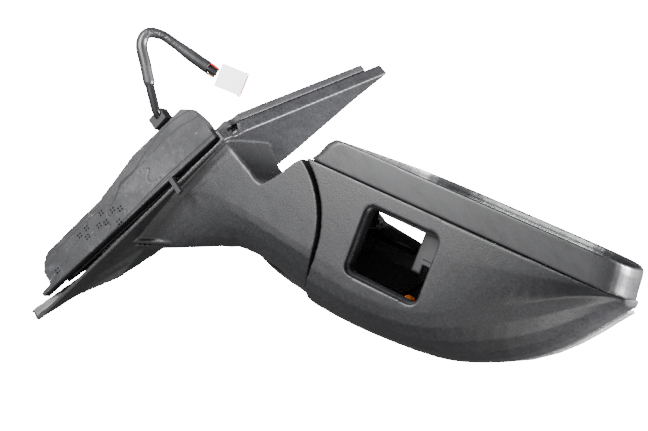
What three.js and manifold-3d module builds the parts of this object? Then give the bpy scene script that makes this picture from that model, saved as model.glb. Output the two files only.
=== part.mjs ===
// A right-hand car door mirror: a sail-mounted base with its arm, and a folding head with
// a powered glass. Millimetres; +X outboard, +Y to the front of the car, +Z up.
// The origin is on the flat face that goes against the door, level with the arm's underside.
import * as THREE from "three";
import { LoftGeometry } from "three/addons/geometries/LoftGeometry.js";
import { mergeVertices } from "three/addons/utils/BufferGeometryUtils.js";
import Module from "manifold-3d";

const wasm = await Module();
wasm.setup();

// ---- driving dimensions ----
const LEAN = 10; // the door face leans inboard at its top, degrees
const SWEEP = 26.5; // the head is swept back from straight outboard, degrees
const AXIS = [58, 0]; // the fold axis, X and Y
const WALL = 2.5; // moulded walls
const GAP = 0.4; // between neighbours
const ARM_R = 60; // the arm's round end, about the fold axis
const HEAD_R = 63; // the head's hollow end, about the fold axis
const SAIL_F = [152, -37]; // the sail's corners, forward and up the leaning face
const SAIL_R = [-26, -6];
const SAIL_A = [-96, 144];
const SAIL_N = 12; // the sail's outer face from the door face
const SAIL_BULGE = 10;
const RIM_Y = -72; // the rim of the glass opening, behind the fold axis
const RIM_TILT = 8; // its top is further forward by this
const HEAD_TOP = 130;
const LAMP = { x0: 85, x1: 139, y0: -45, y1: 0, r: 6 }; // the lamp opening in the underside
const SPIGOT_R = 9;
const SPIGOT_TOP = 98;
const HUB_TOP = 74;
const HOUSING_LOW = 50.5; // the housing's lower edge, over the arm
const DUCT_Z = 26; // the cable duct through the bracket
const FOOT = [-29, 7]; // the gasket under the base, from its inboard to its outboard edge
const GLASS_X = 152; // the glass's pivot, in the head
const GLASS_Y = -50;
const GLASS_Z = 63;
const BALL_Y = -51.2; // the jacks' ball ends
const JACK_ARM = 26; // from the pivot to each jack screw
const SHELL_TOP = 56; // the lower shell's upper edge
const LOOM_R = 3;
const SLEEVE_R = 4.3;

// ---- solids ----
const rad = THREE.MathUtils.degToRad;

function solid(geometry) {
  const g = new THREE.BufferGeometry().copy(geometry);
  for (const name of Object.keys(g.attributes)) {
    if (name !== "position") g.deleteAttribute(name);
  }
  const merged = mergeVertices(g, 1e-4);
  const vertProperties = new Float32Array(merged.attributes.position.array);
  const triVerts = new Uint32Array(merged.index.array);
  return new wasm.Manifold(new wasm.Mesh({ numProp: 3, vertProperties, triVerts }));
}

function geometryOf(body) {
  const mesh = body.getMesh();
  const g = new THREE.BufferGeometry();
  g.setAttribute("position", new THREE.BufferAttribute(mesh.vertProperties, 3));
  g.setIndex(new THREE.BufferAttribute(mesh.triVerts, 1));
  g.computeVertexNormals();
  return g;
}

function moved(body, matrix) {
  return solid(geometryOf(body).applyMatrix4(matrix));
}

function box(x0, x1, y0, y1, z0, z1) {
  const g = new THREE.BoxGeometry(x1 - x0, y1 - y0, z1 - z0);
  return solid(g.translate((x0 + x1) / 2, (y0 + y1) / 2, (z0 + z1) / 2));
}

// A round bar from one point to another; r1 is its radius at the far end.
function rod(a, b, r, sides = 24, r1 = r) {
  const from = new THREE.Vector3(...a);
  const way = new THREE.Vector3(...b).sub(from);
  const g = new THREE.CylinderGeometry(r1, r, way.length(), sides);
  g.translate(0, way.length() / 2, 0);
  const turn = new THREE.Quaternion();
  turn.setFromUnitVectors(new THREE.Vector3(0, 1, 0), way.clone().normalize());
  g.applyQuaternion(turn);
  return solid(g.translate(from.x, from.y, from.z));
}

function joined(...bodies) {
  return bodies.reduce((a, b) => a.add(b));
}

function cut(body, ...tools) {
  return tools.reduce((a, b) => a.subtract(b), body);
}

// A turned part about +Z from [radius, z] pairs, on the axis or closed on itself.
function turned(profile, x = 0, y = 0, sides = 32) {
  const g = new THREE.LatheGeometry(profile.map((p) => new THREE.Vector2(...p)), sides);
  return solid(g.rotateX(Math.PI / 2).translate(x, y, 0));
}

function ring(r0, r1, z0, z1, x = 0, y = 0, sides = 32) {
  return turned([[r0, z0], [r1, z0], [r1, z1], [r0, z1], [r0, z0]], x, y, sides);
}

function roundedShape(x0, x1, y0, y1, r) {
  const s = new THREE.Shape();
  s.moveTo(x0 + r, y0);
  s.lineTo(x1 - r, y0);
  s.absarc(x1 - r, y0 + r, r, -Math.PI / 2, 0);
  s.lineTo(x1, y1 - r);
  s.absarc(x1 - r, y1 - r, r, 0, Math.PI / 2);
  s.lineTo(x0 + r, y1);
  s.absarc(x0 + r, y1 - r, r, Math.PI / 2, Math.PI);
  s.lineTo(x0, y0 + r);
  s.absarc(x0 + r, y0 + r, r, Math.PI, 1.5 * Math.PI);
  return s;
}

function extruded(shape, z0, z1, curveSegments = 4) {
  const g = new THREE.ExtrudeGeometry(shape, {
    depth: z1 - z0,
    bevelEnabled: false,
    curveSegments,
  });
  return solid(g.translate(0, 0, z0));
}

function plate(points, z0, z1) {
  return extruded(new THREE.Shape(points.map((p) => new THREE.Vector2(...p))), z0, z1);
}

// A plate drawn in (y, z) and given thickness along x.
function platex(points, x0, x1) {
  const g = new THREE.ExtrudeGeometry(
    new THREE.Shape(points.map((p) => new THREE.Vector2(...p))),
    { depth: x1 - x0, bevelEnabled: false },
  );
  const m = new THREE.Matrix4().set(0, 0, 1, x0, 1, 0, 0, 0, 0, 1, 0, 0, 0, 0, 0, 1);
  return solid(g.applyMatrix4(m));
}

// A plate drawn in (x, z) and given thickness along y, from y0 up to y1.
function platey(shape, y0, y1, curveSegments = 4) {
  const g = new THREE.ExtrudeGeometry(shape, {
    depth: y1 - y0,
    bevelEnabled: false,
    curveSegments,
  });
  return solid(g.rotateX(Math.PI / 2).translate(0, y1, 0));
}

function loft(sections) {
  return solid(new LoftGeometry(sections, { capStart: true, capEnd: true }));
}

// Rows of a loft read more closely, on smooth curves through the given ones.
function eased(rows, steps) {
  const last = (rows.length - 1) * steps;
  const curves = rows[0].map(
    (_, k) => new THREE.SplineCurve(rows.map((row, i) => new THREE.Vector2(i, row[k]))),
  );
  return Array.from({ length: last + 1 }, (_, i) => curves.map((c) => c.getPoint(i / last).y));
}

function smooth(lo, hi, v) {
  return THREE.MathUtils.smoothstep(v, lo, hi);
}

// ---- the base: the sail, in its own leaning frame (x out of the door face) ----
function sailPoint(s, t, n) {
  const y = SAIL_R[0] + t * (SAIL_A[0] - SAIL_R[0]);
  const u = SAIL_R[1] + t * (SAIL_A[1] - SAIL_R[1]);
  const yf = SAIL_F[0] + t * (SAIL_A[0] - SAIL_F[0]);
  const uf = SAIL_F[1] + t * (SAIL_A[1] - SAIL_F[1]);
  return new THREE.Vector3(n, y + s * (yf - y), u + s * (uf - u));
}

function sailOut(s, t) {
  const swell = smooth(0.05, 0.24, t) * (1 - smooth(0.55, 1.02, t));
  return SAIL_N + SAIL_BULGE * Math.pow(s, 1.3) * swell;
}

// A slab under the sail's outer face, from the inner level up to a depth under it.
function sailSlab(inner, under, edge, t0, t1, rows = 10, columns = 8) {
  const sections = [];
  for (let i = 0; i <= rows; i++) {
    const t = t0 + ((t1 - t0) * i) / rows;
    const e = Math.min(0.45, edge / (185 * (1.001 - t)));
    const points = [];
    for (let j = 0; j <= columns; j++) {
      const s = e + ((1 - 2 * e) * j) / columns;
      points.push(sailPoint(s, t, sailOut(s, t) - under));
    }
    points.push(sailPoint(1 - e, t, inner));
    points.push(sailPoint(e, t, inner));
    sections.push(points);
  }
  return loft(sections);
}

const inBase = new THREE.Matrix4().makeRotationY(rad(-LEAN));

function leaned(body) {
  return moved(body, inBase);
}

// A flat piece drawn in (y, u) on the leaning face.
function sailPlate(points, n0, n1) {
  return leaned(platex(points, n0, n1));
}

// The sail's outline inset by a distance, with its sharp corners cut short.
function sailOutline(inset, tip, low) {
  const e = inset / 185;
  const rows = [
    [e, low], [1 - 2.2 * e, low],
    [1 - (1.6 * e) / (1 - tip + e), tip], [e / (1 - tip + e), tip],
  ];
  return rows.map(([s, t]) => {
    const p = sailPoint(THREE.MathUtils.clamp(s, 0, 1), t, 0);
    return [p.y, p.z];
  });
}

// ---- the base: the arm ----
// x, rear, its z, crease, its z, front, its z, shoulder, its z, top
const ARM_ROWS = [
  [4, -24, -4, 62, -17, 84, -6, 34, 40, 62],
  [10, -25, -3, 48, -12, 80, -4, 33, 41, 60],
  [18, -25.5, 0, 24, -2, 74, 1, 30, 43, 55],
  [28, -26, 0, 13, 0, 62, 8, 26, 45, 50],
  [40, -27, 0, 6, 0, 47, 14, 21, 46, 48],
  [52, -28.5, 0, 0, 0, 32, 18, 15, 46, 46],
  [57, -45, 0, -2, 0, 27, 19, 12, 46, 46],
  [61, -62, 0, -4, 0, 22, 20, 9, 46, 46],
  [75, -62, 0, -10, 0, 14, 23, 3, 46, 46],
  [90, -62, 0, -16, 0, 9, 26, -1, 46, 46],
  [105, -62, 0, -22, 0, 6, 29, -3, 46, 46],
  [124, -62, 0, -29.5, 0, 3, 32, -5, 46, 46],
];

function armRing(row, inset) {
  const [x, r, zr, c, zc, f, zf, s, zs, top] = row;
  const at = (a, b, t) => a + (b - a) * t;
  return [
    [r + inset, zr + 2 + inset], [r + 2 + inset, zr + inset],
    [at(r, c, 0.5), at(zr, zc, 0.5) + inset - 0.04], [c - 5 - inset * 0.3, zc + inset],
    [c - inset * 0.3, zc + 0.5 + inset],
    [at(c, f, 0.38) - inset * 0.4, at(zc, zf, 0.22) + inset * 0.9],
    [at(c, f, 0.74) - inset * 0.7, at(zc, zf, 0.52) + inset * 0.6],
    [f - 0.8 - inset, at(zc, zf, 0.85)], [f - inset, zf + 2],
    [f - 1.5 - inset, at(zf, zs, 0.5)], [at(f, s, 0.55) - inset, at(zf, zs, 0.85) - inset * 0.4],
    [s - inset * 0.5, zs - inset], [r + 9, top - inset], [r + 3 + inset, top - 3 - inset * 0.6],
    [r + 0.4 + inset, top - 9],
  ].map(([y, z]) => new THREE.Vector3(x, y, z));
}

function armLoft(inset) {
  return loft(eased(ARM_ROWS, 2).map((row) => armRing(row, inset)));
}

function drum(r, z0, z1, sides = 64) {
  return rod([AXIS[0], AXIS[1], z0], [AXIS[0], AXIS[1], z1], r, sides);
}

function armSolid(inset) {
  const r = ARM_R - inset;
  return armLoft(inset).intersect(joined(drum(r, -5, 90), box(-9, AXIS[0], -r, 130, -30, 90)));
}

// Where the base's foot lies under the sail: a slope from the rear corner to the front one.
function footZ(y) {
  return -3 - ((y + 26) / 178) * 31;
}

function coverBody() {
  const sail = leaned(sailSlab(3, 0, 0, 0, 0.985));
  const hollowSail = leaned(sailSlab(-10, WALL, 2.6, -0.06, 0.9));
  const bosses = coverScrews.map(([y, u, n]) => studRod(y, u, 4.4, n, 4));
  const pilots = coverScrews.map(([y, u]) => studRod(y, u, 4, 10, 1.6));
  const inboard = leaned(box(-60, 3, -200, 200, -200, 200));
  const scoop = rod([0, -38, 4], [34, -40, 0], 10, 28);
  const hole = rod([AXIS[0], 0, 33], [AXIS[0], 0, 60], 15.4, 36);
  const hollowArm = armSolid(WALL).subtract(box(-10, 12, 40, 92, -30, -3));
  const shell = cut(joined(sail, armSolid(0)), hollowArm, hollowSail, inboard, scoop, hole);
  return cut(joined(shell, ...bosses), ...pilots);
}

// Places on the leaning face, forward and up it.
const studPlaces = [[-46, 83], [58.5, 9.6], [-23, 21]];
const coverScrews = [[-28, 71, 14.6], [0, 58, 17]];

function studRod(y, u, n0, n1, r, sides = 16) {
  return leaned(rod([n0, y, u], [n1, y, u], r, sides));
}

function bracketBody() {
  const flange = sailPlate(sailOutline(12, 0.72, 0.135), 0, 4);
  const beam = box(-4, 50, -6, 12, 15, 38);
  const boss = turned(
    [[0, 10], [9, 10], [9, 20], [14.4, 28], [14.4, 45.4], [SPIGOT_R, 45.4], [SPIGOT_R, SPIGOT_TOP],
      [0, SPIGOT_TOP]],
    AXIS[0], AXIS[1], 36,
  );
  const bore = rod([AXIS[0], 0, DUCT_Z], [AXIS[0], 0, SPIGOT_TOP + 2], 5.6, 24);
  const duct = rod([-30, 3, DUCT_Z], [AXIS[0] + 4, 0, DUCT_Z], 5.6, 20);
  const groove = ring(SPIGOT_R - 1.2, 12, SPIGOT_TOP - 6, SPIGOT_TOP - 4.4, AXIS[0], 0, 36);
  const inboard = leaned(box(-60, 0, -200, 200, -200, 200));
  const holes = studPlaces.map(([y, u]) => studRod(y, u, -5, 9, 3.3));
  const screwHoles = coverScrews.map(([y, u]) => studRod(y, u, -5, 9, 2));
  const sinks = coverScrews.map(([y, u]) => studRod(y, u, -5, 2.2, 4));
  return cut(
    joined(flange, beam, boss), bore, duct, groove, inboard, ...holes, ...screwHoles, ...sinks,
  );
}

// A captive nut for a bolt that comes through the door's sheet metal.
function mountNut([y, u]) {
  const nut = joined(studRod(y, u, 4.4, 5.6, 6.8, 20), studRod(y, u, 5.5, 8.2, 5.2, 6));
  return cut(nut, studRod(y, u, -5, 12, 2.6));
}

function sealBody() {
  const frame = platex(sailOutline(1, 0.9, 0.097), -3, 2.6);
  const open = platex(sailOutline(9.5, 0.76, 0.12), -9, 9);
  const scoop = rod([-20, -38, 6], [34, -38, 6], 10, 24);
  return cut(leaned(frame.subtract(open)), scoop);
}

// The slope of the foot, from the rear corner down to the front one.
const onFoot = new THREE.Matrix4().set(
  1, 0, 0, 0, 0, 1, 0, 0, 0, -31 / 178, 1, footZ(0) - 1, 0, 0, 0, 1,
);

// The rubber block under the foot of the base, which lies on the door's shoulder.
function gasketBody() {
  const outline = [
    [FOOT[1], -22], [FOOT[1], 139], [4, 139], [3, 130], [-7, 130], [-18, 122], [-20, 70],
    [-28, 34], [-29, -12], [-22, -19], [-8, -22],
  ];
  return moved(plate(outline, 0, 7), onFoot);
}

// The shelf that carries the block, with two tongues that stand against the bracket.
function shelfBody() {
  const outline = [[7.4, -20], [7.4, 118], [-16, 118], [-18, 70], [-26, 33], [-27, -10], [-8, -20]];
  const shelf = moved(plate(outline, 7.4, 9.8), onFoot);
  const tongue = (y, u) => leaned(box(4.4, 6.4, y, y + 11, footZ(y) + 6.9, u));
  return joined(shelf, tongue(8, 11), tongue(41, 7));
}

// A clip of the shelf's edge that holds the cable.
function grommetBody() {
  const block = box(-38.4, -29.4, -2.6, 9.4, -9.5, -1.5);
  return block.subtract(solid(tube(LOOM, LOOM_R + GAP, 8, 60)));
}

function pinBody() {
  const foot = footZ(17);
  return joined(
    box(9, 21, 15.4, 18.6, foot - 4.6, foot - 1.8),
    rod([8.9, 17, foot - 4.6], [8.9, 17, foot + 5], 1.5, 12),
  );
}

// A tube along a curve, hollow where an inner radius is given.
function tube(points, r, sides, steps, inner = 0, innerSides = sides) {
  const circle = new THREE.Shape();
  circle.absarc(0, 0, r, 0, 2 * Math.PI);
  if (inner > 0) {
    const hole = new THREE.Path();
    hole.absarc(0, 0, inner, 0, 2 * Math.PI, true);
    circle.holes.push(hole);
  }
  const path = new THREE.CatmullRomCurve3(points.map((p) => new THREE.Vector3(...p)));
  return new THREE.ExtrudeGeometry(circle, {
    steps,
    curveSegments: sides / 2,
    extrudePath: path,
    bevelEnabled: false,
  });
}

// Points on a stretch of the curve through some points.
function stretch(points, from, to, count) {
  const curve = new THREE.CatmullRomCurve3(points.map((p) => new THREE.Vector3(...p)));
  const at = (i) => from + ((to - from) * i) / count;
  return Array.from({ length: count + 1 }, (_, i) => curve.getPoint(at(i)).toArray());
}

// ---- the loom that plugs in behind the door trim ----
const LOOM = [
  [-6.4, 2.6, 25.6], [-14, 2.8, 22], [-24, 3, 13], [-31, 3.3, 3], [-33.6, 2.8, -5], [-38, 0.3, -10],
  [-45, -3, -12.5], [-54, -7, -14.5], [-67, -14, -17], [-77, -21.5, -17.5], [-80.5, -29.5, -15],
  [-75, -34.5, -9.5], [-66, -36.5, -4.5], [-56, -38, 1], [-45, -40, 6.4], [-36.2, -42, 11],
];
const ARM_LOOM = [
  [-4, 2.6, DUCT_Z], [10, 2.2, DUCT_Z], [28, 1.4, DUCT_Z], [48, 0.4, DUCT_Z + 0.1], [54.6, 0.1, 28.4],
  [57.8, 0, 34], [58, 0, 44], [58, 0, 64], [58, 0, 84], [58, 0, SPIGOT_TOP + 2.1],
];
const SLEEVE = stretch(LOOM, 0.467, 0.965, 18);
const PLUG_AT = [-27, -45.5, 16.6];

// The plug's axes: along the cable, across it, and its thickness.
const plugAlong = new THREE.Vector3(0.79, -0.36, 0.5).normalize();
const plugAcross = new THREE.Vector3(0.46, 0.87, -0.1);
const plugUp = new THREE.Vector3().crossVectors(plugAlong, plugAcross).normalize();
plugAcross.crossVectors(plugUp, plugAlong);
const inPlug = new THREE.Matrix4().makeBasis(plugAlong, plugAcross, plugUp).setPosition(...PLUG_AT);

function plugBody() {
  const body = box(-9, 9, -8, 8, -5.5, 5.5);
  const mouth = box(2, 12, -6.4, 6.4, -4, 4);
  const pins = [-4.5, -1.5, 1.5, 4.5].map((y) => rod([1, y, 0], [7, y, 0], 0.6, 8));
  const slot = box(6, 8.6, -9, 9, 3.4, 7);
  return moved(joined(cut(body, mouth, slot), ...pins), inPlug);
}

function lockBody() {
  return moved(box(6.3, 8.3, -8.6, 8.6, 4.4, 7.2), inPlug);
}

// ---- the head, in its own frame (x outboard along the glass, y forward) ----
// x, rim's z, crease, its z, front, its z, upper edge
const SHELL_ROWS = [
  [24, 0, 6, 0, 31, 38],
  [60, 0, 6, 0, 35, 38],
  [92, 0, 8.5, 0, 35, 38],
  [123, 0, 6.5, 0.5, 32.5, 38],
  [146, 0, 0, 1.5, 29.5, 38],
  [162, 0, -8, 3.5, 25, 39],
  [177, 0, -17, 6, 18.5, 40],
  [192, 0, -26, 9.5, 10, 41],
  [206, 0, -35, 13, -1, 43],
  [217, 0.3, -42, 16, -12.5, 45],
  [226, 0.8, -46.5, 19, -24, 46],
  [233, 2.2, -49.5, 22, -34, 47],
  [239, 6, -51.5, 26, -42, 48],
  [243, 12, -51.2, 31, -46.5, 49],
];
const RIM_FRONT = RIM_Y + 17.2; // where the surround meets the shell

function tiltAt(z) {
  return (RIM_TILT * z) / HEAD_TOP;
}

function shellRing(row, inset) {
  const [x, zr, c, zc, f, zf] = row;
  const at = (a, b, t) => a + (b - a) * t;
  const back = RIM_FRONT + 0.4;
  const low = back + tiltAt(zr);
  const up = SHELL_TOP + (inset ? 8 : 0);
  return [
    [back + tiltAt(up) + inset * 0.3, up], [low + inset * 0.3, zr + inset],
    [at(low, c, 0.35), at(zr, zc, 0.12) + inset - 0.06],
    [at(low, c, 0.65), at(zr, zc, 0.45) + inset - 0.05],
    [at(low, c, 0.88), at(zr, zc, 0.85) + inset - 0.01], [c - inset * 0.2, zc + 0.5 + inset],
    [at(c, f, 0.3) - inset * 0.3, at(zc, zf, 0.09) + inset],
    [at(c, f, 0.58) - inset * 0.5, at(zc, zf, 0.26) + inset * 0.8],
    [at(c, f, 0.8) - inset * 0.8, at(zc, zf, 0.5) + inset * 0.5],
    [at(c, f, 0.94) - inset, at(zc, zf, 0.78)], [f - inset, zf + 2],
    [f - inset, at(zf, SHELL_TOP, 0.6)], [f - 0.6 - inset, up],
  ].map(([y, z]) => new THREE.Vector3(x, y, z));
}

function shellLoft(inset) {
  const rows = eased(SHELL_ROWS, 2)
    .filter((row) => !inset || row[0] < 237)
    .map((row) => [row[0] - (row[0] > 220 ? inset : 0), ...row.slice(1)]);
  return loft(rows.map((row) => shellRing(row, inset)));
}

// The outline of the glass opening in (x, z), inset by a distance, with its inboard end
// drawn out by the flare.
function rimShape(i, flare = 0) {
  const a = i - flare;
  const b = i - flare * 0.2;
  const s = new THREE.Shape();
  s.moveTo(54 + a, i);
  s.lineTo(228 - b, i);
  s.bezierCurveTo(241 - b, i, 246.5 - b, 8 + i, 246 - b, 22 + i * 0.3);
  s.bezierCurveTo(245.5 - b, 42, 235.5 - b, 62, 227.5 - b, 84 - i * 0.3);
  s.bezierCurveTo(219.5 - b, 106 - i, 208 - b, 122 - i, 184 - b, 127 - i);
  s.bezierCurveTo(166, 129.7 - i, 142, 130 - i, 118, 130 - i);
  s.bezierCurveTo(84 - flare * 0.3, 130 - i, 60 + i - flare * 0.6, 126 - i, 53 + a, 104 - i);
  s.bezierCurveTo(47 + a, 80, 45 + a, 40, 45 + a, 10 + i);
  s.bezierCurveTo(45 + a, 3.5 + i, 48 + a, i, 54 + a, i);
  return s;
}

// Anything parallel to the glass opening leans forward at its top.
const inRim = new THREE.Matrix4().set(
  1, 0, 0, 0, 0, 1, RIM_TILT / HEAD_TOP, 0, 0, 0, 1, 0, 0, 0, 0, 1,
);

function rimPlate(inset, y0, y1, detail = 8) {
  return moved(platey(rimShape(inset), y0, y1, detail), inRim);
}

// The surround's outer and inner faces: how far back, and how far drawn out inboard.
const RIM_OUTER = [[RIM_Y, 0], [RIM_Y + 4.5, 5], [RIM_Y + 12, 8.5], [RIM_FRONT, 12.5]];
const RIM_INNER = [[RIM_Y - 1, 0], [RIM_Y + 12, 0], [RIM_FRONT + 1, 9]];

function rimLoft(inset, rows) {
  const section = ([y, flare]) =>
    rimShape(inset, flare).getPoints(8).slice(0, -1).reverse()
      .map((p) => new THREE.Vector3(p.x, y, p.y));
  return moved(loft(rows.map(section)), inRim);
}

function surroundBody() {
  return cut(rimLoft(0, RIM_OUTER), rimLoft(3.2, RIM_INNER));
}

// Room for the glass to swing in.
function glassRoom() {
  return rimPlate(5, RIM_FRONT - 1, RIM_FRONT + 8);
}

function lampShape(grow) {
  return roundedShape(
    LAMP.x0 - grow, LAMP.x1 + grow, LAMP.y0 - grow, LAMP.y1 + grow, LAMP.r + grow,
  );
}

// The clear way round the fold axis, in the head's frame.
function swept(r, z0, z1) {
  return rod([0, 0, z0], [0, 0, z1], r, 64);
}

function shellBody() {
  const outer = shellLoft(0);
  const inner = shellLoft(WALL).subtract(swept(HEAD_R + WALL, -5, 90));
  const collar = extruded(lampShape(2), 1, 11);
  const opening = joined(extruded(lampShape(-1.6), -2, 14), extruded(lampShape(0), -2, 3.2));
  const neck = box(-20, 74, -90, 60, SHELL_TOP - 8, 90);
  const bosses = shellScrews.map(([x, y, z]) => rod([x, y, z], [x, y, 19], 4, 12).intersect(outer));
  const pilots = shellScrews.map(([x, y]) => rod([x, y, 10], [x, y, 30], 1.9, 12));
  const inside = shellLoft(1.2);
  const room = glassRoom().intersect(joined(inside, inside.translate([0, -3, 0])));
  const shell = cut(outer, inner, swept(HEAD_R, -5, 90), neck, room);
  return cut(joined(shell, collar, ...bosses), opening, ...pilots);
}

// x, y and where each boss starts
const shellScrews = [[74, -30, 2], [196, -33, 8.5]];

// The frame behind the glass with the hub that turns on the spigot.
function carrierBody() {
  const wall = moved(platey(rimShape(9), RIM_FRONT + 10, RIM_FRONT + 13.4, 5), inRim);
  const windows = [
    [66, 92, 38, 104], [97, 105, 18, 118], [201, 214, 38, 90],
  ].map(([x0, x1, z0, z1]) => box(x0, x1, -60, -20, z0, z1));
  const seat = box(118.5, 189.5, -60, -20, 25.5, 94.5);
  const overLamp = box(80, 144, -60, -30, 0, 14);
  const outside = box(66, 300, -100, 100, -10, SHELL_TOP + 0.5).subtract(shellLoft(WALL + 0.7));
  const above = box(20, 300, -100, 100, SHELL_TOP + 0.5, 140).subtract(housingLoft(WALL + 0.7));
  const hub = ring(SPIGOT_R + GAP, 19, 49.6, HUB_TOP, 0, 0, 36);
  const beam = plate([[-4, -18], [-1, -10], [14, -12], [44, -38], [66, -38], [66, -44], [40, -44]], 52, 73);
  const post = rod([111, -44, 40], [111, -14, 40], 2.6, 16);
  const tab = box(111, 118, -44, -13, 33, 35.5);
  const rail = box(60, 205, -39, -32, 108, 112);
  const feet = shellScrews.map(([x, y]) => rod([x, y, 19.4], [x, y, 34], 3.6, 12));
  const arms = shellScrews.map(([x, y]) => box(x - 2.4, x + 2.4, -43, y, 28, 34));
  const pilots = shellScrews.map(([x, y]) => rod([x, y, 10], [x, y, 36], 1.9, 12));
  const holes = actuatorScrews.map(([x, z]) => rod([x, -60, z], [x, -20, z], 1.9, 12));
  const clear = swept(SPIGOT_R + GAP, 40, 120);
  const lensRoom = box(222, 300, -60, 60, 0, SHELL_TOP + 13.6);
  const bossRoom = shellScrews.map(([x, y]) => rod([x, y, 0], [x, y, 19.4], 4.4, 12));
  const body = joined(cut(wall, ...windows, seat), hub, beam, post, tab, rail, ...feet, ...arms);
  const behind = rimPlate(0, -90, RIM_FRONT + 9.8);
  return cut(
    body, clear, behind, overLamp, outside, above, lensRoom, swept(19.3, HUB_TOP, 140), ...pilots,
    ...holes, ...bossRoom,
  );
}

// The housing that closes the head's front and top, which a painted cap clips over.
// x, rear, its top, front, front higher up, crown
const HOUSING_ROWS = [
  [-26, -9, 78, 9, 5, 84],
  [-22, -17, 82, 17, 12, 95],
  [-14, -26, 86, 25, 19, 104],
  [0, -36, 90, 30, 25, 112],
  [16, -46, 94, 33, 28, 116],
  [30, -53.4, 97, 34.4, 30, 118],
  [46, -54.4, 110, 34.8, 31, 120],
  [60, -54.4, 119, 35, 32, 123],
  [92, -54.4, 127.6, 35, 32, 128.2],
  [123, -54.4, 129.3, 32.5, 29, 129.5],
  [146, -54.4, 129, 29.5, 24, 129],
  [162, -54.4, 128, 25, 18, 128],
  [177, -54.4, 126.6, 18.5, 9.5, 126.5],
  [192, -54.4, 124, 10, -2, 123.8],
  [206, -54.4, 117, -1, -16, 116.8],
  [217, -54.4, 106, -12.5, -31, 105.8],
  [226, -54.4, 89, -24, -40, 88.8],
  [232, -54.4, 76, -34, -45, 75.8],
];

function housingRing([x, rear, rearTop, front, high, crown], inset) {
  const at = (a, b, t) => a + (b - a) * t;
  const low = HOUSING_LOW - (inset ? 8 : 0);
  const open = x > 36 && inset;
  const lean = (z) => (x > 40 ? tiltAt(z) : 0);
  const back = open ? rear - 8 : rear + inset;
  const top = crown - inset;
  const z = (t) => at(HOUSING_LOW, top, t);
  const deep = high - inset - back - lean(crown);
  return [
    [back + lean(low), low], [front - inset, low], [at(front, high, 0.06) - inset, z(0.22)],
    [at(front, high, 0.38) - inset, z(0.42)], [high - inset, z(0.62)],
    [high - inset - deep * 0.12, z(0.8)], [high - inset - deep * 0.32, z(0.93)],
    [high - inset - deep * 0.62, top],
    [at(back + lean(rearTop), high - inset - deep * 0.62, 0.3), at(rearTop - inset, top, 0.6) + 0.3],
    [back + lean(rearTop), rearTop - inset],
  ].map(([y, u]) => new THREE.Vector3(x, y, u));
}

function housingLoft(inset) {
  const rows = eased(HOUSING_ROWS, 2);
  const ends = (x) => (x < -20 ? x + inset : x > 220 ? x - inset : x);
  return loft(rows.map((row) => housingRing([ends(row[0]), ...row.slice(1)], inset)));
}

function housingBody() {
  const overLens = box(144.6, 300, -60, 60, 30, SHELL_TOP + 14.2);
  const overShell = box(73.5, 145, -60, 60, 30, SHELL_TOP + 0.6);
  const window = plate([[24, -27.8], [65, -27.7], [68, -16.4], [35, -20.9]], 100, 140);
  return cut(housingLoft(0), housingLoft(WALL), overLens, overShell, window, glassRoom());
}

function coil(r, wire, z0, z1, turns, steps) {
  const points = [];
  for (let i = 0; i <= turns * 10; i++) {
    const a = (i / 10) * 2 * Math.PI;
    const z = z0 + ((z1 - z0) * i) / (turns * 10);
    points.push([r * Math.cos(a), r * Math.sin(a), z]);
  }
  return tube(points, wire, 6, steps).translate(AXIS[0], AXIS[1], 0);
}

function actuatorBody() {
  const [x0, x1, z0, z1] = [119, 189, 26, 94];
  const shell = cut(box(x0, x1, -44, -24, z0, z1), box(x0 + 2, x1 - 2, -41.5, -20, z0 + 2, z1 - 2));
  const lug = (z) => box(GLASS_X - 4, GLASS_X + 4, GLASS_Y - 4, -43, z - 1.5, z + 1.5);
  const lugs = [lug(GLASS_Z - 11), lug(GLASS_Z + 11)];
  const pinHole = rod([GLASS_X, GLASS_Y, 40], [GLASS_X, GLASS_Y, 90], 2.9, 16);
  const flange = (x, z) => box(x - 8, x + 7, -35.6, -33.4, z - 5, z + 5);
  const ears = actuatorScrews.map(([x, z]) => flange(x, z));
  const earHoles = actuatorScrews.map(([x, z]) => rod([x, -45, z], [x, -30, z], 2, 12));
  const ways = [
    rod([GLASS_X + JACK_ARM, -60, GLASS_Z], [GLASS_X + JACK_ARM, -30, GLASS_Z], 3.6, 16),
    rod([GLASS_X, -60, GLASS_Z - JACK_ARM], [GLASS_X, -30, GLASS_Z - JACK_ARM], 3.6, 16),
  ];
  return cut(joined(shell, ...lugs, ...ears), pinHole, ...ways, ...earHoles);
}

const actuatorScrews = [[114, 63], [195, 50], [195, 80]];

function gimbalBody() {
  const x = [GLASS_X, GLASS_Y, GLASS_Z];
  const tilt = rod([x[0] - 15, x[1], x[2]], [x[0] + 15, x[1], x[2]], 2.4, 16);
  const pan = rod([x[0], x[1], x[2] - 14], [x[0], x[1], x[2] + 14], 2.4, 16);
  return joined(tilt, pan, rod([x[0], x[1], x[2] - 4], [x[0], x[1], x[2] + 4], 5, 20));
}

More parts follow.
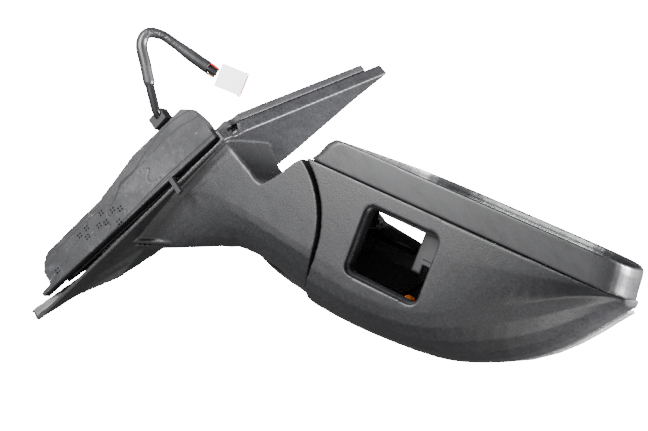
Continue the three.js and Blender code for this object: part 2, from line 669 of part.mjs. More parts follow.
function holderBody() {
  const tip = box(226, 260, -120, 0, -10, 140);
  const back = rimPlate(7.6, RIM_Y + 7.4, RIM_Y + 10, 6).subtract(tip);
  const face = (z) => RIM_Y + 9 + tiltAt(z);
  const lug = (x) => box(x - 1.6, x + 1.6, face(GLASS_Z), GLASS_Y + 4, GLASS_Z - 4, GLASS_Z + 4);
  const hole = rod([GLASS_X - 20, GLASS_Y, GLASS_Z], [GLASS_X + 20, GLASS_Y, GLASS_Z], 2.9, 16);
  const socket = (x, z) =>
    cut(rod([x, face(z), z], [x, BALL_Y - 0.6, z], 7.4, 20), rod([x, -55.7, z], [x, -40, z], 5.2, 20));
  const body = joined(back, lug(GLASS_X - 11), lug(GLASS_X + 11)).subtract(hole);
  return joined(body, socket(GLASS_X + JACK_ARM, GLASS_Z), socket(GLASS_X, GLASS_Z - JACK_ARM));
}

function jackBody(x, z) {
  const ball = new THREE.SphereGeometry(4, 16, 10).translate(x, BALL_Y, z);
  return joined(solid(ball), rod([x, BALL_Y, z], [x, -30, z], 2.6, 16));
}

function nutBody(x, z) {
  const bore = rod([x, -50, z], [x, -20, z], 3, 16);
  const wheel = joined(
    rod([x, -40.8, z], [x, -37, z], 8, 30), rod([x, -37.2, z], [x, -32, z], 5, 20),
  );
  return cut(wheel, bore);
}

function screwBody(at, way, shank, headR, length, headT = 2) {
  const a = new THREE.Vector3(...at);
  const w = new THREE.Vector3(...way).normalize();
  const along = (d) => a.clone().addScaledVector(w, d).toArray();
  const head = rod(along(0), along(headT), headR, 14);
  const body = joined(head, rod(along(headT - 0.2), along(length), shank, 10));
  return cut(body, rod(along(-1), along(headT * 0.5), headR * 0.45, 6));
}

// A strip that follows the shell's front edge, between two offsets from it.
function frontStrip(x0, x1, out0, out1, z0, z1) {
  const rows = SHELL_ROWS.filter((row) => row[0] >= x0 && row[0] <= x1).map((row) => [row[0], row[4]]);
  const offset = (d) =>
    rows.map(([x, y], i) => {
      const [a, b] = [rows[Math.max(0, i - 1)], rows[Math.min(rows.length - 1, i + 1)]];
      const n = new THREE.Vector2(a[1] - b[1], b[0] - a[0]).normalize();
      return [x + n.x * d, y + n.y * d];
    });
  return plate([...offset(out0), ...offset(out1).reverse()], z0, z1);
}

function indicatorHousing() {
  const strip = frontStrip(146, 232, -9, -2, SHELL_TOP + 0.5, SHELL_TOP + 13);
  const hollow = frontStrip(150, 228, -7.4, 0, SHELL_TOP + 2.2, SHELL_TOP + 11.3);
  return strip.subtract(hollow);
}

// The cables in the head, from the top of the spigot.
const HEAD_LOOM = [
  [0, 0, SPIGOT_TOP + 4.6], [2.4, -0.6, 104.8], [12, -5, 105.8], [30, -9, 106.6], [50, -11, 106.6],
  [75, -12, 105.6], [100, -14, 104.5], [130, -15, 102.5], [140, -15, 98], [142, -15, 90],
  [142, -16, 83], [142, -18.4, 80],
];
const BULB_LEAD = [
  [100, -9.5, 102.5], [98, -4, 96], [94, 6, 80], [94, 16, 62], [98, 19, 46], [104, 19.4, 36],
  [112.2, 17, 28],
];

function bulbBody() {
  const glass = solid(new THREE.SphereGeometry(4.4, 18, 12).translate(121, 4, 27));
  return joined(glass, rod([121, 5, 27], [121, 8.7, 27], 3, 16));
}

// ---- materials ----
const BLACK = 0x2b2b2f;
const DARK = 0x1e1e21;
const RUBBER = 0x3a3a40;
const CAST = 0x9a9c9f;
const STEEL = 0xb4b6ba;
const WHITE = 0xe9e9e6;
const AMBER = 0xff6a1e;

const group = new THREE.Group();
const headGroup = new THREE.Group();
headGroup.position.set(AXIS[0], AXIS[1], 0);
headGroup.rotation.z = rad(-SWEEP);
group.add(headGroup);

function add(parent, name, body, color, roughness = 0.6, metalness = 0) {
  const material = new THREE.MeshStandardMaterial({ color, roughness, metalness });
  const mesh = new THREE.Mesh(body.isBufferGeometry ? body : geometryOf(body), material);
  mesh.name = name;
  parent.add(mesh);
}

add(group, "base_cover", coverBody(), BLACK, 0.65);
add(group, "base_bracket", bracketBody(), CAST, 0.45, 0.9);
studPlaces.forEach((place, i) => add(group, "mount_nut_" + (i + 1), mountNut(place), STEEL, 0.35, 1));
add(group, "sail_seal", sealBody(), RUBBER, 0.9);
add(group, "foot_gasket", gasketBody(), RUBBER, 0.9);
add(group, "foot_shelf", shelfBody(), DARK, 0.7);
add(group, "locating_pin", pinBody(), DARK, 0.5);
add(group, "loom_grommet", grommetBody(), RUBBER, 0.8);
coverScrews.forEach(([y, u], i) => {
  const body = leaned(screwBody([0.2, y, u], [1, 0, 0], 1.3, 3.5, 9));
  add(group, "cover_screw_" + (i + 1), body, STEEL, 0.35, 1);
});
add(group, "pivot_spring", coil(14, 1.4, HUB_TOP + 1.8, SPIGOT_TOP - 9.1, 4, 56), STEEL, 0.35, 1);
const clip = ring(SPIGOT_R - 0.8, 12.6, SPIGOT_TOP - 5.7, SPIGOT_TOP - 4.7, AXIS[0], 0, 24);
const washer = ring(SPIGOT_R + 0.3, 16, SPIGOT_TOP - 7.4, SPIGOT_TOP - 6, AXIS[0], 0, 28);
add(group, "pivot_clip", clip, STEEL, 0.35, 1);
add(group, "pivot_washer", washer, STEEL, 0.35, 1);
add(group, "detent_ring", ring(SPIGOT_R + 0.3, 14.2, 45.8, 49.2, AXIS[0], 0, 28), DARK, 0.5);
add(group, "loom_cable", tube(LOOM, LOOM_R, 8, 60), DARK, 0.4);
add(group, "loom_sleeve", tube(SLEEVE, SLEEVE_R, 8, 36, LOOM_R + GAP), RUBBER, 0.7);
add(group, "loom_plug", plugBody(), WHITE, 0.5);
add(group, "loom_lock", lockBody(), 0xd92233, 0.5);
add(group, "arm_loom", tube(ARM_LOOM, LOOM_R, 8, 26), DARK, 0.4);

add(headGroup, "lower_shell", shellBody(), BLACK, 0.65);
add(headGroup, "head_housing", housingBody(), DARK, 0.6);
add(headGroup, "glass_surround", surroundBody(), BLACK, 0.6);
add(headGroup, "carrier_frame", carrierBody(), DARK, 0.6);
add(headGroup, "actuator_body", actuatorBody(), DARK, 0.5);
add(headGroup, "actuator_cover", cut(box(119, 189, -23.6, -21, 26, 94)), DARK, 0.5);
add(headGroup, "motor_pan", rod([165, -31, 86], [183, -31, 86], 6, 18), STEEL, 0.4, 1);
add(headGroup, "motor_tilt", rod([122, -31, 40], [138, -31, 40], 6, 18), STEEL, 0.4, 1);
add(headGroup, "gimbal", gimbalBody(), WHITE, 0.5);
add(headGroup, "glass_holder", holderBody(), BLACK, 0.6);
add(headGroup, "heater_pad", rimPlate(8.6, RIM_Y + 6.3, RIM_Y + 7, 6), DARK, 0.7);
add(headGroup, "mirror_glass", rimPlate(7.2, RIM_Y + 3.8, RIM_Y + 6, 6), 0xcfd6dc, 0.05, 1);
add(headGroup, "jack_pan", jackBody(GLASS_X + JACK_ARM, GLASS_Z), WHITE, 0.5);
add(headGroup, "jack_tilt", jackBody(GLASS_X, GLASS_Z - JACK_ARM), WHITE, 0.5);
add(headGroup, "nut_pan", nutBody(GLASS_X + JACK_ARM, GLASS_Z), WHITE, 0.5);
add(headGroup, "nut_tilt", nutBody(GLASS_X, GLASS_Z - JACK_ARM), WHITE, 0.5);
actuatorScrews.forEach(([x, z], i) => {
  const body = screwBody([x, -31, z], [0, -1, 0], 1.5, 3.4, 9);
  add(headGroup, "actuator_screw_" + (i + 1), body, STEEL, 0.35, 1);
});
shellScrews.forEach(([x, y], i) => {
  const body = screwBody([x, y, 36.3], [0, 0, -1], 1.4, 3.2, 26);
  add(headGroup, "shell_screw_" + (i + 1), body, STEEL, 0.35, 1);
});

add(headGroup, "head_loom", tube(HEAD_LOOM, 2.5, 8, 34), DARK, 0.4);
add(headGroup, "bulb_lead", tube(BULB_LEAD, 1.5, 6, 26), DARK, 0.4);
add(headGroup, "indicator_housing", indicatorHousing(), WHITE, 0.4);
const lens = frontStrip(146, 240, -1.7, 0.4, SHELL_TOP + 0.5, SHELL_TOP + 13);
add(headGroup, "indicator_lens", lens, 0xe8e8e8, 0.1);
add(headGroup, "bulb_socket", rod([121, 9, 27], [121, 21, 27], 6.5, 20), DARK, 0.5);
add(headGroup, "indicator_bulb", bulbBody(), AMBER, 0.2);

export default group;
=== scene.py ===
"""A right-hand car door mirror seen from below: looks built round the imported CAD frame."""

import math

import bmesh
import bpy
from mathutils import Matrix, Vector, noise


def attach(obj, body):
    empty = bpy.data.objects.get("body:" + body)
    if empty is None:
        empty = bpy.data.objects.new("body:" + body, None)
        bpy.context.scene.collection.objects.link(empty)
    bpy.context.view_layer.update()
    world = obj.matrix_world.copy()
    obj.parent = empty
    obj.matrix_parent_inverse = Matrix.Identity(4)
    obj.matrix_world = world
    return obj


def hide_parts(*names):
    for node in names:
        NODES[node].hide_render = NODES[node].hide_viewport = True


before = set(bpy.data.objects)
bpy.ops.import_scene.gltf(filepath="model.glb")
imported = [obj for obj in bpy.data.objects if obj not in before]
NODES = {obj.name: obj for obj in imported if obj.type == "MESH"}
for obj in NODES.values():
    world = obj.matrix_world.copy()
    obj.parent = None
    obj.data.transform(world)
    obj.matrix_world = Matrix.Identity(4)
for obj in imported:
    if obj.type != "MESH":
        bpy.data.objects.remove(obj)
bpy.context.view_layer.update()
scene = bpy.context.scene
MM = 0.001


# ---- camera ----
CAMERA_AT = Vector((0.4085, -0.3316, -0.6386))
CAMERA_TO = Vector((0.1049, -0.0550, -0.0111))
CAMERA_UP = Vector((-0.7439, -0.6649, -0.0669))
LENS = 69.44


def make_camera():
    """Places the camera and gives its right, up and back directions."""
    data = bpy.data.cameras.new("camera")
    data.lens = LENS
    data.sensor_width = 36
    data.clip_start = 0.01
    camera = bpy.data.objects.new("camera", data)
    back = (CAMERA_AT - CAMERA_TO).normalized()
    right = CAMERA_UP.cross(back).normalized()
    up = back.cross(right)
    turn = Matrix((right, up, back)).transposed().to_4x4()
    camera.matrix_world = Matrix.Translation(CAMERA_AT) @ turn
    scene.collection.objects.link(camera)
    scene.camera = camera
    return right, up, back


RIGHT, UP, BACK = make_camera()


# ---- mesh helpers ----
def link(name, data):
    obj = bpy.data.objects.new(name, data)
    scene.collection.objects.link(obj)
    return obj


def piece(obj, body, material, replaces=()):
    """Rides a new piece on its body, gives it its material and hides the nodes it replaces."""
    obj.data.materials.clear()
    obj.data.materials.append(material)
    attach(obj, body)
    if replaces:
        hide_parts(*replaces)
    return obj


def smooth_faces(mesh):
    mesh.polygons.foreach_set("use_smooth", [True] * len(mesh.polygons))


def applied(obj):
    """The object's mesh with its modifiers worked in."""
    depsgraph = bpy.context.evaluated_depsgraph_get()
    mesh = bpy.data.meshes.new_from_object(obj.evaluated_get(depsgraph))
    old = obj.data
    obj.modifiers.clear()
    obj.data = mesh
    bpy.data.meshes.remove(old)
    return obj


# Ribs behind walls too thin for the remesh, from one point to another with a radius, in mm.
RIBS = {"base_cover": [((13.8, 72.2, -4.4), (28.6, 55.6, 6.7), 1.6)]}


def ribbed(mesh, ribs):
    """Adds each rib to a mesh as a rod; the remesh after it joins them."""
    bm = bmesh.new()
    bm.from_mesh(mesh)
    for a, b, radius in ribs:
        a, b = Vector(a) * MM, Vector(b) * MM
        turn = (b - a).to_track_quat("Z", "Y").to_matrix().to_4x4()
        bmesh.ops.create_cone(
            bm, cap_ends=True, segments=12, radius1=radius * MM, radius2=radius * MM,
            depth=(b - a).length, matrix=Matrix.Translation((a + b) / 2) @ turn,
        )
    bm.to_mesh(mesh)
    bm.free()


def moulded(node, voxel, rounds):
    """A copy of a CAD solid with its edges softened as a moulding's are."""
    obj = link(node + "_skin", NODES[node].data.copy())
    ribbed(obj.data, RIBS.get(node, ()))
    remesh = obj.modifiers.new("remesh", "REMESH")
    remesh.mode = "VOXEL"
    remesh.voxel_size = voxel * MM
    remesh.adaptivity = 0
    soften = obj.modifiers.new("soften", "SMOOTH")
    soften.factor = 0.5
    soften.iterations = rounds
    applied(obj)
    smooth_faces(obj.data)
    return obj


def softened(node, width, material):
    """Bevels a CAD node's edges with a modifier and gives it a material."""
    obj = NODES[node]
    bevel = obj.modifiers.new("bevel", "BEVEL")
    bevel.width = width * MM
    bevel.segments = 2
    bevel.limit_method = "ANGLE"
    bevel.angle_limit = math.radians(35)
    obj.data.materials.clear()
    obj.data.materials.append(material)
    return obj


def spline_points(points, per_span):
    """Points on a smooth curve through the given ones."""
    p = [Vector(v) * MM for v in points]
    p = [2 * p[0] - p[1]] + p + [2 * p[-1] - p[-2]]
    out = []
    for i in range(1, len(p) - 2):
        a, b, c, d = p[i - 1:i + 3]
        for k in range(per_span):
            t = k / per_span
            out.append(
                0.5 * (2 * b + (c - a) * t + (2 * a - 5 * b + 4 * c - d) * t * t
                       + (3 * b - a - 3 * c + d) * t ** 3)
            )
    out.append(p[-2])
    return out


def curve_piece(name, points, radius):
    """A round cord of one radius, in mm, through points in metres."""
    data = bpy.data.curves.new(name, "CURVE")
    data.dimensions = "3D"
    data.bevel_depth = radius * MM
    data.bevel_resolution = 5
    data.use_fill_caps = True
    spline = data.splines.new("POLY")
    spline.points.add(len(points) - 1)
    for i, p in enumerate(points):
        spline.points[i].co = (*p, 1)
    spline.use_smooth = True
    return link(name, data)


def frames_along(points):
    """A steady pair of directions across a path at each of its points."""
    out = []
    side = None
    for i, p in enumerate(points):
        way = (points[min(i + 1, len(points) - 1)] - points[max(i - 1, 0)]).normalized()
        if side is None:
            side = way.orthogonal().normalized()
        side = (side - way * side.dot(way)).normalized()
        out.append((p, side.copy(), way.cross(side)))
    return out


def tube_mesh(name, points, radius_at, around=28):
    """A closed tube along a path; radius_at(i, angle) is in metres."""
    bm = bmesh.new()
    rings = []
    for i, (p, a, b) in enumerate(frames_along(points)):
        ring = []
        for j in range(around):
            t = 2 * math.pi * j / around
            r = radius_at(i, t)
            ring.append(bm.verts.new(p + a * (r * math.cos(t)) + b * (r * math.sin(t))))
        rings.append(ring)
    for low, high in zip(rings, rings[1:]):
        for j in range(around):
            k = (j + 1) % around
            bm.faces.new((low[j], low[k], high[k], high[j]))
    bm.faces.new(list(reversed(rings[0])))
    bm.faces.new(rings[-1])
    mesh = bpy.data.meshes.new(name)
    bm.to_mesh(mesh)
    bm.free()
    smooth_faces(mesh)
    return link(name, mesh)


# ---- materials ----
class Nodes:
    """Builds one procedural material in the object's own coordinates."""

    def __init__(self, name):
        self.material = bpy.data.materials.new(name)
        self.material.use_nodes = True
        self.tree = self.material.node_tree
        self.shader = self.tree.nodes["Principled BSDF"]
        self.place = self.tree.nodes.new("ShaderNodeTexCoord").outputs["Object"]

    def wire(self, a, b):
        self.tree.links.new(a, b)

    def noise(self, scale, detail=3, roughness=0.55, place=None):
        n = self.tree.nodes.new("ShaderNodeTexNoise")
        n.inputs["Scale"].default_value = scale
        n.inputs["Detail"].default_value = detail
        n.inputs["Roughness"].default_value = roughness
        self.wire(place or self.place, n.inputs["Vector"])
        return n.outputs["Fac"]

    def cells(self, scale):
        n = self.tree.nodes.new("ShaderNodeTexVoronoi")
        n.inputs["Scale"].default_value = scale
        self.wire(self.place, n.inputs["Vector"])
        return n.outputs["Distance"]

    def stretched(self, x, y, z):
        n = self.tree.nodes.new("ShaderNodeMapping")
        n.inputs["Scale"].default_value = (x, y, z)
        self.wire(self.place, n.inputs["Vector"])
        return n.outputs["Vector"]

    def ramp(self, value, low, high, out0=0.0, out1=1.0):
        n = self.tree.nodes.new("ShaderNodeMapRange")
        n.inputs["From Min"].default_value = low
        n.inputs["From Max"].default_value = high
        n.inputs["To Min"].default_value = out0
        n.inputs["To Max"].default_value = out1
        self.wire(value, n.inputs["Value"])
        return n.outputs["Result"]

    def mix(self, factor, a, b):
        n = self.tree.nodes.new("ShaderNodeMix")
        n.data_type = "RGBA"
        self.wire(factor, n.inputs["Factor"])
        for socket, value in ((n.inputs[6], a), (n.inputs[7], b)):
            if isinstance(value, tuple):
                socket.default_value = (*value, 1)
            else:
                self.wire(value, socket)
        return n.outputs[2]

    def vector(self, operation, a, b=None, out="Vector"):
        n = self.tree.nodes.new("ShaderNodeVectorMath")
        n.operation = operation
        self.wire(a, n.inputs[0])
        if b:
            n.inputs[1].default_value = b
        return n.outputs[out]

    def number(self, operation, a, b):
        n = self.tree.nodes.new("ShaderNodeMath")
        n.operation = operation
        for socket, value in zip(n.inputs, (a, b)):
            if isinstance(value, float):
                socket.default_value = value
            else:
                self.wire(value, socket)
        return n.outputs[0]

    def pricks(self, places, half, radius):
        """How near a point is to clusters of four pricks, seen along z; 1 at a prick."""
        nearest = None
        for x, y in places:
            away = self.vector("SUBTRACT", self.place, (x * MM, y * MM, 0))
            away = self.vector("ABSOLUTE", away)
            away = self.vector("SUBTRACT", away, (half * MM, half * MM, 0))
            away = self.vector("MULTIPLY", away, (1, 1, 0))
            away = self.vector("LENGTH", away, out="Value")
            nearest = away if nearest is None else self.number("MINIMUM", nearest, away)
        return self.ramp(nearest, radius * MM, radius * MM * 0.5)

    def colour(self, value):
        socket = self.shader.inputs["Base Color"]
        if isinstance(value, tuple):
            socket.default_value = (*value, 1)
        else:
            self.wire(value, socket)

    def bump(self, height, strength, distance, under=None):
        """A bump, over the one under it if there is one; the last one made is seen."""
        n = self.tree.nodes.new("ShaderNodeBump")
        n.inputs["Strength"].default_value = strength
        n.inputs["Distance"].default_value = distance
        self.wire(height, n.inputs["Height"])
        if under:
            self.wire(under, n.inputs["Normal"])
        self.wire(n.outputs["Normal"], self.shader.inputs["Normal"])
        return n.outputs["Normal"]

    def set(self, **values):
        for key, value in values.items():
            socket = self.shader.inputs[key.replace("_", " ").title().replace("Ior", "IOR")]
            if hasattr(value, "is_linked"):
                self.wire(value, socket)
            else:
                socket.default_value = value


def grained(name, dark, light, grain, rough=(0.42, 0.56), depth=0.00006, dust=0.03):
    """Black plastic with a fine eroded grain, handling marks and a little dust."""
    m = Nodes(name)
    patches = m.ramp(m.noise(22, 4), 0.35, 0.7)
    base = m.mix(patches, dark, light)
    pits = m.ramp(m.noise(grain * 0.5, 3, 0.8), 0.40, 0.60)
    base = m.mix(pits, tuple(c * 0.45 for c in dark), base)
    specks = m.ramp(m.noise(1100, 2), 0.70, 0.78, 0.0, dust)
    m.colour(m.mix(specks, base, (0.35, 0.35, 0.36)))
    scuffs = m.noise(60, 5, 0.6, m.stretched(1, 3, 1))
    m.set(roughness=m.ramp(scuffs, 0.3, 0.7, *rough))
    fine = m.bump(m.cells(grain), 0.7, depth)
    m.bump(m.noise(grain * 0.5, 3, 0.8), 0.5, depth * 2.5, fine)
    return m.material


def plain_plastic(name, dark, light, rough, scale=120, depth=0.00003):
    """Smooth plastic or rubber with a faint unevenness in colour and shine."""
    m = Nodes(name)
    m.colour(m.mix(m.ramp(m.noise(40, 3), 0.35, 0.7), dark, light))
    m.set(roughness=m.ramp(m.noise(scale, 3), 0.3, 0.7, rough * 0.85, rough * 1.15))
    m.bump(m.noise(scale * 12, 2), 0.2, depth)
    return m.material


def metal(name, colour, rough, scale=400):
    """Plated or cast metal, duller in patches."""
    m = Nodes(name)
    dull = tuple(c * 0.75 for c in colour)
    m.colour(m.mix(m.ramp(m.noise(180, 4), 0.35, 0.7), colour, dull))
    m.set(metallic=1.0, roughness=m.ramp(m.noise(90, 3), 0.3, 0.7, rough * 0.8, rough * 1.3))
    m.bump(m.noise(scale, 4), 0.25, 0.00004)
    return m.material


# Where the mould's pins have pricked the foam block, forward along its underside.
PRICKS = [
    (-10, 72), (-5.5, 64), (-2.5, 59), (-4, 78), (-2, 72.5), (4.5, 64.5), (-9, 86.5), (-8.5, 93.5),
    (-3.5, 89), (0, 120),
]


def foam(name, dark, light):
    """Closed-cell foam rubber with pores, pressed patches, pale scuffs, and pin pricks painted as shaded
    holes: near black with no shine.
    """
    m = Nodes(name)
    worn = m.ramp(m.noise(70, 6, 0.7), 0.54, 0.72)
    base = m.mix(worn, dark, light)
    along = m.stretched(3.2, 0.5, 3.2)
    scratch = m.ramp(m.noise(230, 3, 0.6, along), 0.66, 0.74, 0.0, 0.5)
    base = m.mix(scratch, base, (0.21, 0.21, 0.225))
    # Painted shade in the pin holes: near-black colour here, and no specular shine below.
    prick_hole_shade = m.pricks(PRICKS, 1.1, 0.85)
    m.colour(m.mix(prick_hole_shade, base, (0.004, 0.004, 0.004)))
    m.set(roughness=m.ramp(m.noise(30, 3), 0.3, 0.7, 0.5, 0.8))
    m.set(specular_ior_level=m.ramp(prick_hole_shade, 0.0, 1.0, 0.5, 0.0))
    pores = m.bump(m.cells(1300), 0.4, 0.00008)
    m.bump(m.noise(110, 5, 0.6), 0.55, 0.0006, pores)
    return m.material


def vinyl(name):
    """Soft vinyl sleeving with a low shine and long shallow creases."""
    m = Nodes(name)
    m.colour(m.mix(m.ramp(m.noise(140, 3), 0.4, 0.75), (0.009, 0.009, 0.010), (0.018, 0.018, 0.020)))
    m.set(roughness=m.ramp(m.noise(90, 3), 0.3, 0.7, 0.34, 0.5))
    fine = m.bump(m.noise(2400, 1), 0.15, 0.00004)
    m.bump(m.noise(170, 3, 0.5), 0.5, 0.0005, fine)
    return m.material


def mirror():
    """Silvered glass with faint smears."""
    m = Nodes("silvered_glass")
    smear = m.ramp(m.noise(25, 4), 0.3, 0.7, 0.015, 0.05)
    m.colour((0.86, 0.89, 0.91))
    m.set(metallic=1.0, roughness=smear)
    return m.material


def clear(name, colour, rough=0.06):
    """Clear or tinted moulded glass."""
    m = Nodes(name)
    m.colour(m.mix(m.ramp(m.noise(60, 2), 0.3, 0.7), colour, tuple(c * 0.93 for c in colour)))
    m.set(roughness=rough, transmission_weight=0.85, ior=1.49)
    m.bump(m.noise(300, 2), 0.08, 0.0001)
    return m.material


GRAIN = grained("grained_plastic", (0.017, 0.017, 0.019), (0.022, 0.022, 0.025), 1500, (0.38, 0.52))
SATIN = grained("satin_plastic", (0.017, 0.017, 0.019), (0.023, 0.023, 0.026), 2600, (0.30, 0.42), 0.00002)
INNER = plain_plastic("inner_plastic", (0.014, 0.014, 0.016), (0.020, 0.020, 0.022), 0.5)
FOAM = foam("foam_rubber", (0.014, 0.014, 0.016), (0.042, 0.042, 0.048))
RUBBER = plain_plastic("soft_rubber", (0.008, 0.008, 0.009), (0.014, 0.014, 0.016), 0.55, 200, 0.00008)
SHEATH = plain_plastic("cable_sheath", (0.006, 0.006, 0.007), (0.010, 0.010, 0.011), 0.16)
VINYL = vinyl("loom_vinyl")
WHITE = plain_plastic("white_plastic", (0.88, 0.88, 0.87), (0.92, 0.92, 0.91), 0.38)
RED = plain_plastic("red_plastic", (0.62, 0.010, 0.020), (0.72, 0.016, 0.028), 0.3)
ALLOY = metal("cast_alloy", (0.55, 0.56, 0.58), 0.5)
STEEL = metal("zinc_steel", (0.62, 0.62, 0.62), 0.3, 900)
MIRROR = mirror()
LENS_CLEAR = clear("clear_lens", (0.93, 0.93, 0.93))
AMBER = clear("amber_glass", (1.0, 0.25, 0.02), 0.12)


# ---- the loom behind the door: its cable, vinyl sleeve, wires and plug ----
LOOM = [
    (-6.4, 2.6, 25.6), (-14, 2.8, 22), (-24, 3, 13), (-31, 3.3, 3), (-33.6, 2.8, -5), (-38, 0.3, -10),
    (-44.5, -3.6, -12), (-53, -8.2, -13.5), (-65.5, -15.6, -15.6), (-76.6, -22, -17.2), (-80.5, -29.5, -15),
    (-75, -34.5, -9.5), (-66, -36.5, -4.5), (-56, -38, 1), (-45, -40, 6.4), (-36.2, -42, 11),
]
LOOM_R = 3.0
SLEEVE_LEAST, SLEEVE_R = 3.02, 4.25
SLEEVE_FROM, SLEEVE_TO = 7.0, 14.45  # in spans of the route
PER_SPAN = 8
SLEEVE_STEPS = 6
WIRE_R = 0.7
WIRES = [
    ("yellow", (0.75, 0.55, 0.04)), ("white", (0.8, 0.8, 0.78)), ("red", (0.6, 0.02, 0.02)),
    ("black", (0.015, 0.015, 0.016)), ("brown", (0.12, 0.05, 0.02)),
]


def sleeve_radius(s, i, t):
    """The sleeve's radius in metres: s along it from 0 to 1, at ring i and angle t."""
    p = Vector((math.cos(t) * 1.6, math.sin(t) * 1.6, i * 0.05))
    bent = math.exp(-((s - 0.40) / 0.045) ** 2)
    kinked = math.exp(-((s - 0.56) / 0.11) ** 2)
    flared = max(0.0, (s - 0.70) / 0.30)
    crumple = (0.08 + 0.55 * kinked + 0.30 * bent) * noise.noise(p * (1 + 1.6 * kinked))
    flat = 0.10 * math.cos(2 * t) + 0.35 * bent * math.cos(2 * t)
    base = 3.95 - 0.75 * kinked - 0.45 * max(0.0, 1 - abs(s - 0.72) / 0.1)
    start = 0.5 * math.exp(-(i / 4.0) ** 2)
    return min(SLEEVE_R, max(SLEEVE_LEAST, base + crumple + flat + 0.3 * flared - start)) * MM


def make_sleeve(points):
    run = points[int(SLEEVE_FROM * PER_SPAN):int(SLEEVE_TO * PER_SPAN) + 1]
    fine = []
    for a, b in zip(run, run[1:]):
        fine += [a.lerp(b, k / SLEEVE_STEPS) for k in range(SLEEVE_STEPS)]
    last = len(fine) - 1
    sleeve = tube_mesh("loom_tape_run", fine, lambda i, t: sleeve_radius(i / last, i, t), 36)
    return piece(sleeve, "base", VINYL, ["loom_sleeve"])


def make_wires(points):
    """The ends of the wires, spread round the cable's axis where they leave the sleeve."""
    wires = []
    end = points[-1]
    way = (points[-1] - points[-4]).normalized()
    side = way.orthogonal().normalized()
    other = way.cross(side)
    for i, (name, colour) in enumerate(WIRES):
        t = 2 * math.pi * i / len(WIRES)
        out = side * math.cos(t) + other * math.sin(t)
        start = points[-10] + out * (2.6 * MM)
        middle = points[-5] + out * (3.75 * MM)
        last = end + out * (3.3 * MM) + way * (0.3 * MM)
        line = [start.lerp(middle, k / 6) for k in range(6)]
        line += [middle.lerp(last, k / 6) for k in range(7)]
        wire = curve_piece("loom_wire_" + name, line, WIRE_R)
        coat = plain_plastic("wire_" + name, colour, tuple(c * 0.85 for c in colour), 0.35)
        wires.append(piece(wire, "base", coat))
    return wires


def make_loom():
    """The cable from the grommet to the plug, with all that rides on it."""
    points = spline_points(LOOM, PER_SPAN)
    cable = curve_piece("loom_cable_run", points, LOOM_R * 0.99)
    piece(cable, "base", SHEATH, ["loom_cable"])
    sleeve = make_sleeve(points)
    wires = make_wires(points)
    plug = softened("loom_plug", 0.5, WHITE)
    lock = softened("loom_lock", 0.3, RED)


make_loom()


# ---- the base and the head ----
# The foam block's raised pad: y, then x where its lower step starts and its upper one.
PAD = [
    (-30, -20, -13), (-15, -23, -15), (-6, -25, -18), (4, -26, -18.5), (17, -23.5, -17.5),
    (37, -18.5, -17), (50, -18, -16), (63, -10, -9), (72, -16, -13), (150, -16, -13),
]
BLOCK_EDGE = [(-30, 8), (20, 7), (60, 9.5), (150, 17)]


def between(table, y, column=1):
    """A value read off a table by its first column."""
    for low, high in zip(table, table[1:]):
        if y <= high[0]:
            t = max(0.0, (y - low[0]) / (high[0] - low[0]))
            return low[column] + (high[column] - low[column]) * t
    return table[-1][column]


def rise(t):
    t = min(1.0, max(0.0, t))
    return t * t * (3 - 2 * t)


def underside(y):
    """How high the foam block's sloping underside is at y, in mm."""
    return -8.5 - 0.174 * y


def press_foam(obj):
    """Presses steps, creases and hollows into the foam block's underside, in mm."""
    for v in obj.data.vertices:
        x, y, z = v.co / MM
        near = 1 - rise((z - underside(y) - 1.0) / 3.0)
        if near <= 0:
            continue
        wobble = 0.8 * noise.noise(Vector((x, y, 3)) * 0.11)
        push = 1.3 * rise((between(PAD, y) - x + wobble) / 1.1 + 0.5)
        push += 1.1 * rise((between(PAD, y, 2) - x + wobble) / 1.1 + 0.5)
        edge = between(BLOCK_EDGE, y) - x
        push += 0.8 * math.exp(-((edge - 3.2 + wobble * 0.4) / 0.8) ** 2)
        push += 0.7 * max(0.0, noise.noise(Vector((x * 0.06, y * 0.05, 1.0))))
        ridge = abs(noise.noise(Vector((x * 0.09, y * 0.035, 7.0))))
        push += 0.45 * math.exp(-(ridge / 0.02) ** 2) * rise((y + 5) / 20)
        v.co.z += push * near * MM


# node, voxel in mm, rounds of smoothing, body, slot, material
SKINS = [
    ("base_cover", 0.75, 6, "base", "grained_black", GRAIN),
    ("lower_shell", 0.75, 6, "head", "grained_black", GRAIN),
    ("glass_surround", 0.75, 5, "head", "grained_black", SATIN),
    ("foot_gasket", 0.62, 5, "base", "foam_rubber", FOAM),
    ("sail_seal", 0.7, 5, "base", "foam_rubber", FOAM),
    ("head_housing", 0.75, 5, "head", "inner_black", INNER),
    ("carrier_frame", 0.7, 4, "head", "inner_black", INNER),
    ("foot_shelf", 0.6, 3, "base", "inner_black", INNER),
]


def make_skins():
    for node, voxel, rounds, body, slot, material in SKINS:
        skin = moulded(node, voxel, rounds)
        if node == "foot_gasket":
            press_foam(skin)
        piece(skin, body, material, [node])


make_skins()

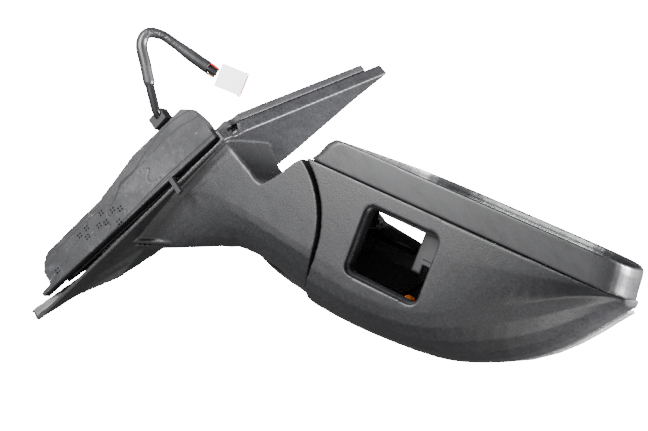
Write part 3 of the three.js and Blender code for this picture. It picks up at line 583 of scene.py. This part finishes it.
# The CAD nodes that are seen as packed: each one's bevel in mm and its material.
BEVELLED = {
    "base_bracket": (0.6, ALLOY), "loom_grommet": (0.8, RUBBER), "locating_pin": (0.4, INNER),
    "detent_ring": (0.3, INNER), "actuator_body": (0.5, INNER), "actuator_cover": (0.5, INNER),
    "glass_holder": (0.4, INNER), "heater_pad": (0.1, INNER), "bulb_socket": (0.7, INNER),
    "gimbal": (0.4, WHITE), "jack_pan": (0.3, WHITE), "jack_tilt": (0.3, WHITE),
    "nut_pan": (0.3, WHITE), "nut_tilt": (0.3, WHITE), "indicator_housing": (0.4, WHITE),
    "indicator_lens": (0.3, LENS_CLEAR), "indicator_bulb": (0.2, AMBER),
    "mirror_glass": (0.4, MIRROR), "motor_pan": (0.5, STEEL), "motor_tilt": (0.5, STEEL),
    "pivot_clip": (0.2, STEEL), "pivot_washer": (0.2, STEEL), "pivot_spring": (0.1, STEEL),
    "arm_loom": (0.1, SHEATH), "head_loom": (0.1, SHEATH), "bulb_lead": (0.1, SHEATH),
}
FASTENERS = {"mount_nut": 3, "cover_screw": 2, "actuator_screw": 3, "shell_screw": 2}
for group, count in FASTENERS.items():
    for index in range(count):
        BEVELLED[f"{group}_{index + 1}"] = (0.25, STEEL)
for node, (width, material) in BEVELLED.items():
    smooth_faces(softened(node, width, material).data)


# ---- light and floor ----
CENTRE = Vector((0.1, -0.05, 0.02))
FLOOR_AT = (0.1, -0.05, -1.3)
FLOOR_HALF = 3.0
WORLD_LIGHT = 0.20
WORLD_SEEN = 40.0  # bright enough to be seen as white


def area_light(name, right, up, back, size, power):
    """A soft disk aimed at the centre, placed from it in metres as the camera sees it."""
    data = bpy.data.lights.new(name, "AREA")
    data.shape = "DISK"
    data.size = size
    data.energy = power
    lamp = link(name, data)
    at = CENTRE + RIGHT * right + UP * up + BACK * back
    lamp.location = at
    lamp.rotation_euler = (CENTRE - at).to_track_quat("-Z", "Y").to_euler()


area_light("key", -0.33, 0.26, 0.24, 0.2, 6.2)
area_light("side", 0.90, 0.00, 0.18, 0.4, 95)
area_light("fill", 0.2, -0.75, 0.45, 0.5, 5.5)
area_light("back", -0.35, 0.6, -0.1, 0.4, 1.2)


def make_world():
    """White where the camera looks past the mirror, and a dim even light on it."""
    world = bpy.data.worlds.new("studio")
    scene.world = world
    world.use_nodes = True
    tree = world.node_tree
    out = tree.nodes["World Output"]
    lit = tree.nodes["Background"]
    lit.inputs["Color"].default_value = (1, 1, 1, 1)
    lit.inputs["Strength"].default_value = WORLD_LIGHT
    seen = tree.nodes.new("ShaderNodeBackground")
    seen.inputs["Strength"].default_value = WORLD_SEEN
    path = tree.nodes.new("ShaderNodeLightPath")
    mix = tree.nodes.new("ShaderNodeMixShader")
    tree.links.new(path.outputs["Is Camera Ray"], mix.inputs[0])
    tree.links.new(lit.outputs[0], mix.inputs[1])
    tree.links.new(seen.outputs[0], mix.inputs[2])
    tree.links.new(mix.outputs[0], out.inputs["Surface"])


make_world()


def make_floor():
    """A pale floor far below, which keeps the underside's light even."""
    bm = bmesh.new()
    bmesh.ops.create_grid(bm, x_segments=8, y_segments=8, size=FLOOR_HALF)
    mesh = bpy.data.meshes.new("floor")
    bm.to_mesh(mesh)
    bm.free()
    floor = link("floor", mesh)
    floor.location = FLOOR_AT
    m = Nodes("pale_floor")
    m.colour(m.mix(m.noise(2, 2), (0.80, 0.80, 0.80), (0.84, 0.84, 0.84)))
    m.set(roughness=0.9, emission_strength=0.12)
    mesh.materials.append(m.material)


make_floor()
